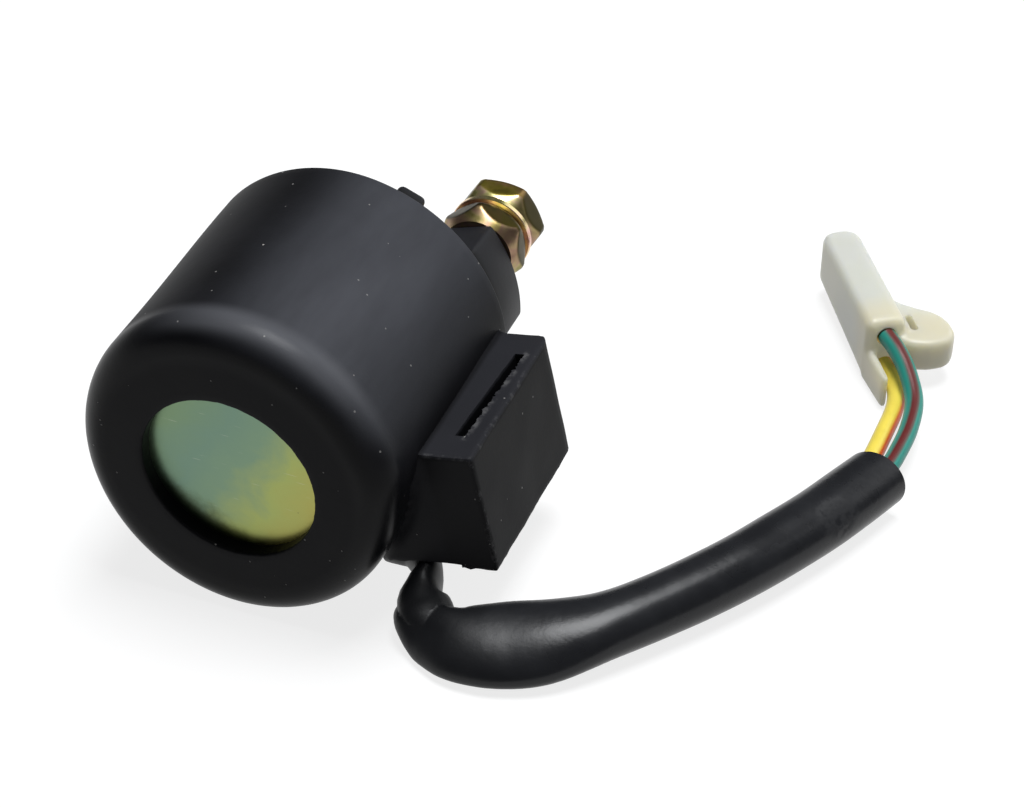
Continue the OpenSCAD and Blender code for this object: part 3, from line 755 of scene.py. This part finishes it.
def boot_mesh():
    prof = [(WINDOW_R, 2.0), (WINDOW_R, 1.2), (WINDOW_R, 0.5)]
    prof += arc(WINDOW_R + 0.35, 0.35, 0.35, 180, 270, 4)
    prof += [(13, 0), (14, 0), (15, 0), (16, 0), (17, 0)]
    prof += arc(BOOT_R - 4, 4, 4, 270, 360, 14)
    prof += [(BOOT_R, 4 + 0.9 * i) for i in range(1, 37)]
    prof += arc(BOOT_R - 0.3, BOOT_LEN - 0.3, 0.3, 0, 90, 3) + [(20.9, BOOT_LEN)]
    prof += arc(BORE_R + 0.2, BOOT_LEN - 0.2, 0.2, 90, 180, 2)
    prof += [(BORE_R, 34), (BORE_R, 28), (BORE_R, 20), (BORE_R, 12), (BORE_R, 6), (BORE_R, 2.3),
             (BORE_R - 0.3, 2.0), (16, 2.0)]
    verts, faces = lathe(prof, 220, boot_place)
    return new_object("boot", verts, faces, 180)


LUG_X, LUG_TOP, LUG_LOW, LUG_FROM, LUG_TO = 29.4, 0.4, 17.9, 8.6, 35.4


def lug_mesh():
    """The lug as a softened block, flared where it grows out of the boot."""
    x0 = 14.0
    nx, ny, nz = 20, 22, 32
    bm = bmesh.new()
    size = (LUG_X - x0, LUG_LOW - LUG_TOP, LUG_TO - LUG_FROM)
    bmesh.ops.create_cube(bm, size=1)
    for v in bm.verts:
        v.co = Vector((x0 + (v.co.x + 0.5) * size[0], LUG_TOP + (v.co.y + 0.5) * size[1],
                       LUG_FROM + (v.co.z + 0.5) * size[2]))
    bmesh.ops.bevel(bm, geom=list(bm.edges), offset=0.35, segments=2, affect="EDGES", profile=0.5)
    for axis, n in ((0, nx), (1, ny), (2, nz)):
        lo = min(v.co[axis] for v in bm.verts)
        hi = max(v.co[axis] for v in bm.verts)
        for i in range(1, n):
            at = lo + (hi - lo) * i / n
            if at < lo + 0.5 or at > hi - 0.5:
                continue
            co = [0, 0, 0]
            no = [0, 0, 0]
            co[axis] = at
            no[axis] = 1
            bmesh.ops.bisect_plane(bm, geom=list(bm.verts) + list(bm.edges) + list(bm.faces),
                                   plane_co=co, plane_no=no)
    for v in bm.verts:
        x, y, z = v.co
        out = math.hypot(x, y) - BOOT_R * oval(x, y)

        def flare(rf):
            if out >= rf:
                return 0.0
            u = 1 - max(out, 0.0) / rf
            return rf * (1 - math.sqrt(max(0.0, 1 - u * u)))
        if z > LUG_TO - 2.0 and x > LUG_X - 2.0:
            u, w = x - LUG_X + 2.0, z - LUG_TO + 2.0
            far = math.hypot(u, w)
            if far > 2.0:
                x, z = LUG_X - 2.0 + u * 2.0 / far, LUG_TO - 2.0 + w * 2.0 / far
                v.co.x, v.co.z = x, z
        dz = 0.0
        if z < LUG_FROM + 0.36:
            dz -= flare(0.2 + 1.8 * smooth((y - 1) / 5)) * smooth((LUG_FROM + 0.36 - z) / 0.36)
        if z > LUG_TO - 0.36:
            dz += flare(0.8) * smooth((z - LUG_TO + 0.36) / 0.36)
        dy = 0.0
        if y < LUG_TOP + 0.36:
            dy -= flare(0.15) * smooth((LUG_TOP + 0.36 - y) / 0.36)
        # flash along the lower edges
        if y > LUG_LOW - 0.2 and (x > LUG_X - 4 or z < LUG_FROM + 0.5):
            edge = 1 if z < LUG_FROM + 0.6 else 0.35 if x > LUG_X - 0.8 else 0.2
            dy += edge * 0.5 * max(0.0, rough(x * 1.7, z * 1.3, 4.0) + 0.1)
        v.co.x += 0.10 * rough(x * 0.2, y * 0.15 + 7, z * 0.15) if x > 27 else 0
        v.co.y += dy + 0.08 * rough(x * 0.25, 9, z * 0.2)
        v.co.z += dz + 0.08 * rough(x * 0.25 + 3, y * 0.2, 2)
    verts = [laid(*v.co) for v in bm.verts]
    faces = [[v.index for v in f.verts] for f in bm.faces]
    bm.free()
    return new_object("lug", verts, faces, 0)


def tube_cutter(name, start, direction, r, h, n=48):
    a = Vector(start)
    d = Vector(direction).normalized()
    side = d.cross(Vector((0, 0, 1))).normalized()
    over = side.cross(d)
    verts, faces = [], []
    for e in (0, 1):
        for k in range(n):
            t = 2 * math.pi * k / n
            verts.append((a + d * (h * e) + side * (r * math.cos(t)) + over * (r * math.sin(t))) * MM)
    for k in range(n):
        l = (k + 1) % n
        faces.append((k, l, n + l, n + k))
    faces.append(tuple(range(n)))
    faces.append(tuple(range(n, 2 * n))[::-1])
    return new_object(name, verts, faces, 0)


def bore_cutter():
    verts, faces = lathe([(0.001, -3), (20.6, -3), (20.6, 45), (0.001, 45)], 128,
                         lambda x, y, z: laid(x, y, z))
    return new_object("bore_cutter", verts, faces, 0)


def slot_cutter():
    """The tab's slot: straight on the boot's side, torn on the outer side."""
    n = 70
    rows = []
    for e in range(6):
        y = LUG_TOP - 1.5 + e * (LUG_LOW - LUG_TOP + 3) / 5
        left, rght = [], []
        for i in range(n + 1):
            t = i / n
            z = 13.0 + 17.8 * t
            lean = 0.9 * t
            left.append((25.4 + lean + 0.05 * rough(z * 0.8, e * 0.2, 1), y, z))
            torn = 0.36 * rough(z * 1.1, 2.0 + e * 0.05, 0) + 0.34 * rough(z * 2.7, 5.0, e * 0.1) + 0.2 * rough(z * 6, 1.0, 0)
            rght.append((26.75 + lean + torn * smooth(min(t, 1 - t) * 8), y, z))
        rows.append(left + rght[::-1])
    m = len(rows[0])
    verts = [laid(*p) for row in rows for p in row]
    faces = []
    for e in range(5):
        for k in range(m):
            l = (k + 1) % m
            faces.append((e * m + k, e * m + l, (e + 1) * m + l, (e + 1) * m + k))
    faces.append(tuple(range(m)))
    faces.append(tuple(range(5 * m, 6 * m))[::-1])
    return new_object("slot_cutter", verts, faces, 0)


boot_rubber = rubber("boot_rubber", boot_marks_and_painted_light=True)
boot = boot_mesh()
lug = lug_mesh()
cut(lug, bore_cutter(), "DIFFERENCE")
cut(boot, tube_cutter("port_cutter", Vector(PORT) - lead_dir * 8, lead_dir, 4.3, 20), "DIFFERENCE")
cut(lug, tube_cutter("port_cutter", Vector(PORT) - lead_dir * 8, lead_dir, 4.3, 20), "DIFFERENCE")
cut(lug, slot_cutter(), "DIFFERENCE")
cut(boot, lug, "UNION")
tidy(boot, 32)
boot.data.materials.clear()
boot.data.materials.append(boot_rubber)

# ---------------------------------------------------------------- cap
def bar_plan(r, half, n=14):
    a = math.asin(half / r)
    pts = [(r * math.cos(-a + 2 * a * i / n), r * math.sin(-a + 2 * a * i / n)) for i in range(n + 1)]
    return pts + [(-x, -y) for x, y in pts]


def prism(name, plan, low, high, place, bevel, segments=3):
    n = len(plan)
    bm = bmesh.new()
    bot = [bm.verts.new((x, y, low)) for x, y in plan]
    top = [bm.verts.new((x, y, high)) for x, y in plan]
    bm.faces.new(bot[::-1])
    bm.faces.new(top)
    for k in range(n):
        l = (k + 1) % n
        bm.faces.new((bot[k], bot[l], top[l], top[k]))
    bmesh.ops.recalc_face_normals(bm, faces=bm.faces)
    sharp = [e for e in bm.edges if len(e.link_faces) == 2 and e.calc_face_angle() > math.radians(25)]
    if bevel:
        bmesh.ops.bevel(bm, geom=sharp, offset=bevel, segments=segments, affect="EDGES", profile=0.5)
    verts = [place(*v.co) for v in bm.verts]
    faces = [[v.index for v in f.verts] for f in bm.faces]
    bm.free()
    return new_object(name, verts, faces, 40)


def merge(name, objs):
    """Several closed pieces as one object."""
    bm = bmesh.new()
    for o in objs:
        bm.from_mesh(o.data)
        bpy.data.objects.remove(o)
    mesh = bpy.data.meshes.new(name)
    bm.to_mesh(mesh)
    bm.free()
    obj = bpy.data.objects.new(name, mesh)
    scene.collection.objects.link(obj)
    tidy(obj, 40)
    return obj


def rounded_plan(x0, y0, x1, y1, near, far, n=8):
    """A rectangle in plan with one radius at its low y end and one at its high y end."""
    return (arc(x0 + near, y0 + near, near, 180, 270, n) + arc(x1 - near, y0 + near, near, 270, 360, n)
            + arc(x1 - far, y1 - far, far, 0, 90, n) + arc(x0 + far, y1 - far, far, 90, 180, n))


def plug_mesh():
    """The housing as one soft moulding: body, bowed latch and wire guard grown together."""
    t, soft = CONN_T / 2, 1.3
    body = prism("body", rounded_plan(-t, 0, t, CONN_LEN, 1.0, 2.3), 0, CONN_H, plugged, soft, 5)
    latch = prism("latch", [(1.0, 9.6), (1.0, -0.4), (3.2, -2.4), (5.6, -3.0), (8.0, -2.9), (9.4, -2.0), (10.1, -0.4),
                            (10.1, 1.6), (9.6, 3.4), (8.4, 4.9), (6.2, 6.4), (4.4, 8.0), (3.4, 9.8)],
                  2.6, 7.8, plugged, 0.9, 3)
    guard = prism("guard", [(-t, 1.5), (-t + 0.5, -6.2), (-t + 1.0, -6.6), (-t + 1.5, -6.2), (-t + 1.5, 1.5)],
                  0.0, 5.4, plugged, 0.35, 2)
    obj = merge("plug_housing", [body, latch, guard])
    c, d = math.cos(CONN_TURN), math.sin(CONN_TURN)
    for v in obj.data.vertices:
        y = (-(v.co.x - CONN_AT[0] * MM) * d + (v.co.y - CONN_AT[1] * MM) * c) / MM
        rise = 2.2 * MM * smooth((y - 4) / 17)
        v.co.z += rise * (1 - v.co.z / (CONN_H * MM))
    mod = obj.modifiers.new("skin", "REMESH")
    mod.mode = "VOXEL"
    mod.voxel_size = 0.00024
    mod.use_smooth_shade = True
    mod = obj.modifiers.new("soften", "SMOOTH")
    mod.factor = 0.5
    mod.iterations = 22
    apply_modifiers(obj)
    mouth = prism("mouth", [(-2.0, CONN_LEN - 9), (2.0, CONN_LEN - 9), (2.0, CONN_LEN + 2), (-2.0, CONN_LEN + 2)],
                  3.0, CONN_H - 1.0, plugged, 0.0)
    cut(obj, mouth, "DIFFERENCE")
    for z in (2.7, 7.7):
        way = prism("way", [(1.5 * math.cos(k * math.pi / 12), 1.5 * math.sin(k * math.pi / 12)) for k in range(24)],
                    -2.0, 3.2, lambda x, y, h, z=z: plugged(x, h, z + y), 0.0)
        cut(obj, way, "DIFFERENCE")
    slot = prism("latch_slot", rounded_plan(3.9, 0.6, 5.0, 4.2, 0.5, 0.5, 4), 1.0, 9.0, plugged, 0.0)
    cut(obj, slot, "DIFFERENCE")
    tidy(obj, 180)
    obj.data.set_sharp_from_angle(angle=math.radians(50))
    return obj


plug = plug_mesh()
plug.data.materials.clear()
plug.data.materials.append(nylon_mat)

bar = prism("bar", bar_plan(BAR_R, BAR_W / 2), BOOT_LEN + 0.1, BAR_AT, capped, 0.45)
foot = prism("foot", bar_plan(19.9, BAR_W / 2), 36.9, BOOT_LEN + 1, capped, 0.0)
base = new_object("base", *lathe([(0.001, 36.7), (3.3, 36.7), (3.3, 34.5), (17.4, 34.5), (17.4, 37.0),
                                   (17.1, 37.3), (0.001, 37.3)], 96, capped), 40)
KEY_TURN = -math.radians(50)


def key_place(x, y, z):
    c, s = math.cos(KEY_TURN), math.sin(KEY_TURN)
    return capped(x * c - y * s, x * s + y * c, z)


key = prism("key", [(14.4, -2), (19.8, -2), (19.8, 2), (14.4, 2)], 36.8, 40.9, key_place, 0.9, 4)
knob = prism("knob", [(14.6, -2), (20.6, -2), (20.6, 2), (14.6, 2)], 38.2, 41.2, key_place, 0.8, 4)
cap = merge("cap", [bar, foot, base, key, knob])
cap.data.materials.append(cap_plastic)

# ---------------------------------------------------------------- nuts, washers and studs
def stud_place(side, spin=0.0):
    c, s = math.cos(spin), math.sin(spin)

    def place(x, y, z):
        u, v = x * c - y * s + STUD[0], x * s + y * c + STUD[1]
        return capped(side * u, v, z)
    return place


def nut_mesh(name, side, low, turn, af=10.8, h=4.4):
    spin = math.radians(turn)
    place = stud_place(side, spin)
    n = 240
    corner = af / 2 / math.cos(math.pi / 6)
    zs = [0, 0.05, 0.12] + [0.12 * i for i in range(2, 24)] + [3.1, 3.5, 3.8, 4.0, 4.15, 4.27, 4.35, 4.4]
    verts, faces, cone_at, painted_shade_at = [], [], [], []
    m = len(zs)
    for z in zs:
        for k in range(n):
            t = 2 * math.pi * k / n
            q = abs((t + math.pi / 6) % (math.pi / 3) - math.pi / 6)
            hexr = min(af / 2 / math.cos(math.pi / 6 - q), corner - 0.16)
            cone = min(4.78 + 0.62 * z, 5.2 + 1.5 * (h - z) if low > 50 else 4.9 + 0.75 * (h - z))
            soft = 0.12
            r = -soft * math.log(math.exp(-hexr / soft) + math.exp(-cone / soft)) + 0.02
            verts.append(place(r * math.cos(t), r * math.sin(t), low + z))
            cone_at.append(smooth(0.5 + (hexr - cone) / 0.3))
            # painted shade: on the upper nuts, faces turned more than about 30 degrees from one side are marked
            # darker; the lower nuts are marked dark all round
            turn_at = math.degrees(t + spin) + 72.5
            turn_at = abs((turn_at + 180) % 360 - 180) if side > 0 else abs((252.5 - turn_at) % 360 - 180)
            painted_shade_at.append(smooth((turn_at - 28) / 12) if low > 50 else 1.0)
    for i in range(m - 1):
        for k in range(n):
            l = (k + 1) % n
            faces.append((i * n + k, i * n + l, (i + 1) * n + l, (i + 1) * n + k))
    # faces and the bore, with its lead-in
    rings = [(4.2, 0.0), (3.35, 0.0), (3.05, 0.35), (3.05, h - 0.35), (3.35, h), (4.2, h)]
    start = len(verts)
    for r, z in rings:
        for k in range(n):
            t = 2 * math.pi * k / n
            verts.append(place(r * math.cos(t), r * math.sin(t), low + z))
    for i in range(len(rings) - 1):
        for k in range(n):
            l = (k + 1) % n
            faces.append((start + i * n + l, start + i * n + k, start + (i + 1) * n + k, start + (i + 1) * n + l))
    for k in range(n):
        l = (k + 1) % n
        faces.append((l, k, start + k, start + l))
        a, b = (m - 1) * n, start + (len(rings) - 1) * n
        faces.append((a + k, a + l, b + l, b + k))
    obj = new_object(name, verts, faces, 40)
    for label, values, rest in (("cone", cone_at, 1.0), ("dark", painted_shade_at, 0.5)):
        attr = obj.data.attributes.new(label, "FLOAT", "POINT")
        for i in range(len(verts)):
            attr.data[i].value = values[i] if i < len(values) else rest
    return obj


def washer_mesh(name, side, low, high):
    """Split spring washer: its ends stand a little apart."""
    place = stud_place(side)
    n = 90
    sect = [(3.1, 0.08), (3.18, 0), (5.6, 0), (5.7, 0.1), (5.7, 0.7), (5.6, 0.8), (3.18, 0.8), (3.1, 0.72)]
    verts, faces = [], []
    gap = math.radians(5)
    from_ = math.radians(150)
    for k in range(n + 1):
        a = from_ + gap / 2 + (2 * math.pi - gap) * k / n
        for r, z in sect:
            verts.append(place(r * math.cos(a), r * math.sin(a), low + z))
    m = len(sect)
    for k in range(n):
        for i in range(m):
            j = (i + 1) % m
            faces.append((k * m + i, k * m + j, (k + 1) * m + j, (k + 1) * m + i))
    faces.append(tuple(range(m)))
    faces.append(tuple(n * m + i for i in range(m))[::-1])
    return new_object(name, verts, faces, 40)


def stud_mesh(name, side, low=34.0, high=57.3, pitch=1.0):
    """M6 thread, cut by a ramp at its end."""
    place = stud_place(side)
    n, step = 40, 0.125
    rows = int(round((high - low) / step))
    verts, faces = [], []
    for i in range(rows + 1):
        z = low + i * step
        for k in range(n):
            t = 2 * math.pi * k / n
            ph = ((z / pitch) + side * k / n) % 1.0
            tri = abs(ph - 0.5) * 2
            depth = 0.58 * max(0.0, min(1.0, 1.15 * tri - 0.05))
            r = 3.0 - depth
            end = high - z
            r = min(r, 2.35 + end * 0.9)
            verts.append(place(r * math.cos(t), r * math.sin(t), z))
    for i in range(rows):
        for k in range(n):
            l = (k + 1) % n
            faces.append((i * n + k, i * n + l, (i + 1) * n + l, (i + 1) * n + k))
    faces.append(tuple(range(n)))
    faces.append(tuple(rows * n + k for k in range(n))[::-1])
    thread = new_object(name, verts, faces, 60)
    edge = [(17.97, -6.9), (18.7, -4.6), (19.1, -2.4), (19.25, 0), (19.2, 1.1)]
    plan = [(10, -6.9)] + edge + [(10, 1.1)]
    head = prism("head", [(side * x, y) for x, y in (plan if side > 0 else plan[::-1])], 33.5, 35.85, capped, 0.2, 2)
    return merge(name, [thread, head])


def coil_mesh(name, low, high, turns, r=3.43, wire=0.6):
    n, m = turns * 24, 10
    verts, faces = [], []
    for i in range(n + 1):
        a = 2 * math.pi * turns * i / n
        z = low + wire / 2 + (high - low - wire) * i / n
        for k in range(m):
            b = 2 * math.pi * k / m
            at = r + wire / 2 * math.cos(b)
            verts.append(laid(at * math.cos(a), at * math.sin(a), z + wire / 2 * math.sin(b)))
    for i in range(n):
        for k in range(m):
            l = (k + 1) % m
            faces.append((i * m + k, i * m + l, (i + 1) * m + l, (i + 1) * m + k))
    faces.append(tuple(range(m)))
    faces.append(tuple(n * m + k for k in range(m))[::-1])
    return new_object(name, verts, faces, 60)


for side, tag, low_turn, up_turn in ((1, "right", 42, 20), (-1, "left", 8, 33)):
    for name, low, turn in (("lower_nut_", 46.3, low_turn), ("upper_nut_", 51.5, up_turn)):
        nut = nut_mesh(name.replace("_nut_", "_hexnut_") + tag, side, low, turn)
        nut.data.materials.append(nut_zinc)
        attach(nut, "relay")
        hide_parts(name + tag)
    ring = washer_mesh("split_washer_" + tag, side, 50.7, 51.5)
    ring.data.materials.append(washer_zinc)
    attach(ring, "relay")
    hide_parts("lock_washer_" + tag)
    bolt = stud_mesh("threaded_stud_" + tag, side)
    bolt.data.materials.append(stud_zinc)
    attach(bolt, "relay")
    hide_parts("stud_" + tag)

# ---------------------------------------------------------------- CAD nodes that stay
steel = plain_metal("bright_steel", (0.5, 0.5, 0.5), 0.35)
dark_steel = plain_metal("turned_steel", (0.4, 0.41, 0.42), 0.4)
brass = plain_metal("brass", (0.72, 0.52, 0.22), 0.3)
copper = plain_metal("copper", (0.70, 0.35, 0.2), 0.35)
enamel = plain_metal("enamel_wire", (0.45, 0.16, 0.06), 0.3, 700)
bobbin_nylon = plain_plastic("bobbin_nylon", (0.6, 0.56, 0.46), 0.45)
fibre = plain_plastic("fibre", (0.28, 0.16, 0.08), 0.7)
phenolic = plain_plastic("phenolic", (0.09, 0.045, 0.03), 0.5)
can_zinc = window_zinc()
KEPT = {
    "relay_can": can_zinc, "backstop_pad": fibre, "coil_bobbin": bobbin_nylon, "coil_winding": enamel,
    "guide_tube": brass, "pole_plate": dark_steel, "plunger": dark_steel, "push_rod": steel,
    "rod_collar": steel, "return_spring": steel, "contact_spring": steel, "insulator_bush": phenolic,
    "contact_disc": copper, "insulator_washer": phenolic, "rod_clip": steel, "cap_seal": grommet_rubber,
    "stud_right": stud_zinc, "stud_left": stud_zinc, "lead_grommet": grommet_rubber,
    "connector_pin_upper": brass, "connector_pin_lower": brass}
push_back = coil_mesh("return_coil", 15.2, 21.3, 6)
push_back.data.materials.append(steel)
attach(push_back, "relay")
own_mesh(push_back)
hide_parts("return_spring")
press = coil_mesh("contact_coil", 24.8, 29.25, 4)
press.data.materials.append(steel)
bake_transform(press)
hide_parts("contact_spring")
for name, mat in KEPT.items():
    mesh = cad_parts[name].data
    mesh.materials.clear()
    mesh.materials.append(mat)

for piece, nodes in ((boot, ("rubber_boot",)), (cap, ("terminal_cap",)), (sleeve, ("lead_sleeve",)),
                     (yellow, ("wire_yellow",)), (green, ("wire_green",)), (plug, ("connector_housing",))):
    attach(piece, "relay")
    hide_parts(*nodes)

tuple(v * MM for v in PORT)
length(sleeve_route) * MM
[tuple(p * MM) for p in sleeve_route]
tuple(v * MM for v in YELLOW[0])
length(yellow_route) * MM
[tuple(p * MM) for p in yellow_route]
tuple(v * MM for v in GREEN[0])
length(green_route) * MM
[tuple(p * MM) for p in green_route]

# ---------------------------------------------------------------- floor, light and world
def floor():
    s = 3.0
    obj = new_object("floor", [(-s, -s, -0.0002), (s, -s, -0.0002), (s, s, -0.0002), (-s, s, -0.0002)],
                     [(0, 1, 2, 3)], 0)
    mat = bpy.data.materials.new("floor")
    mat.use_nodes = True
    nt = mat.node_tree
    nt.nodes.clear()
    out = put(nt, "ShaderNodeOutputMaterial")
    path = put(nt, "ShaderNodeLightPath")
    seen = math_node(nt, "MAXIMUM", path.outputs["Is Camera Ray"],
                     math_node(nt, "MAXIMUM", path.outputs["Is Glossy Ray"], path.outputs["Is Transmission Ray"]))
    body = put(nt, "ShaderNodeBsdfDiffuse")
    body.inputs["Color"].default_value = (0.25, 0.25, 0.25, 1)
    glow = put(nt, "ShaderNodeEmission")
    glow.inputs["Color"].default_value = (1, 1, 1, 1)
    glow.inputs["Strength"].default_value = 0.80
    both = put(nt, "ShaderNodeAddShader")
    link(nt, body.outputs[0], both.inputs[0])
    link(nt, glow.outputs[0], both.inputs[1])
    pick = put(nt, "ShaderNodeMixShader")
    link(nt, seen, pick.inputs[0])
    link(nt, body.outputs[0], pick.inputs[1])
    link(nt, both.outputs[0], pick.inputs[2])
    link(nt, pick.outputs[0], out.inputs[0])
    obj.data.materials.append(mat)


def lamp(name, at, aim, size, power, color=(1, 1, 1)):
    data = bpy.data.lights.new(name, "AREA")
    data.shape = "RECTANGLE"
    data.size, data.size_y = size
    data.energy = power
    data.color = color
    obj = bpy.data.objects.new(name, data)
    scene.collection.objects.link(obj)
    obj.location = at
    obj.rotation_euler = (Vector(aim) - Vector(at)).to_track_quat("-Z", "Y").to_euler()
    return obj


def sky():
    world = bpy.data.worlds.new("studio")
    scene.world = world
    world.use_nodes = True
    nt = world.node_tree
    nt.nodes.clear()
    out = put(nt, "ShaderNodeOutputWorld")
    path = put(nt, "ShaderNodeLightPath")
    room = put(nt, "ShaderNodeBackground")
    room.inputs["Color"].default_value = (0.95, 0.97, 1.0, 1)
    room.inputs["Strength"].default_value = 0.10
    white = put(nt, "ShaderNodeBackground")
    white.inputs["Color"].default_value = (1, 1, 1, 1)
    white.inputs["Strength"].default_value = 1.0
    pick = put(nt, "ShaderNodeMixShader")
    link(nt, path.outputs["Is Camera Ray"], pick.inputs[0])
    link(nt, room.outputs[0], pick.inputs[1])
    link(nt, white.outputs[0], pick.inputs[2])
    link(nt, pick.outputs[0], out.inputs[0])


floor()
sky()
lamp("overhead", (0.06, 0.10, 0.72), (0.01, 0.0, 0.02), (0.34, 0.32), 5.5, (0.97, 0.985, 1.0))
lamp("back_right", (0.50, 0.60, 0.42), (0.01, 0.0, 0.02), (0.8, 0.6), 2.0, (0.97, 0.985, 1.0))

scene.view_settings.view_transform = "Standard"
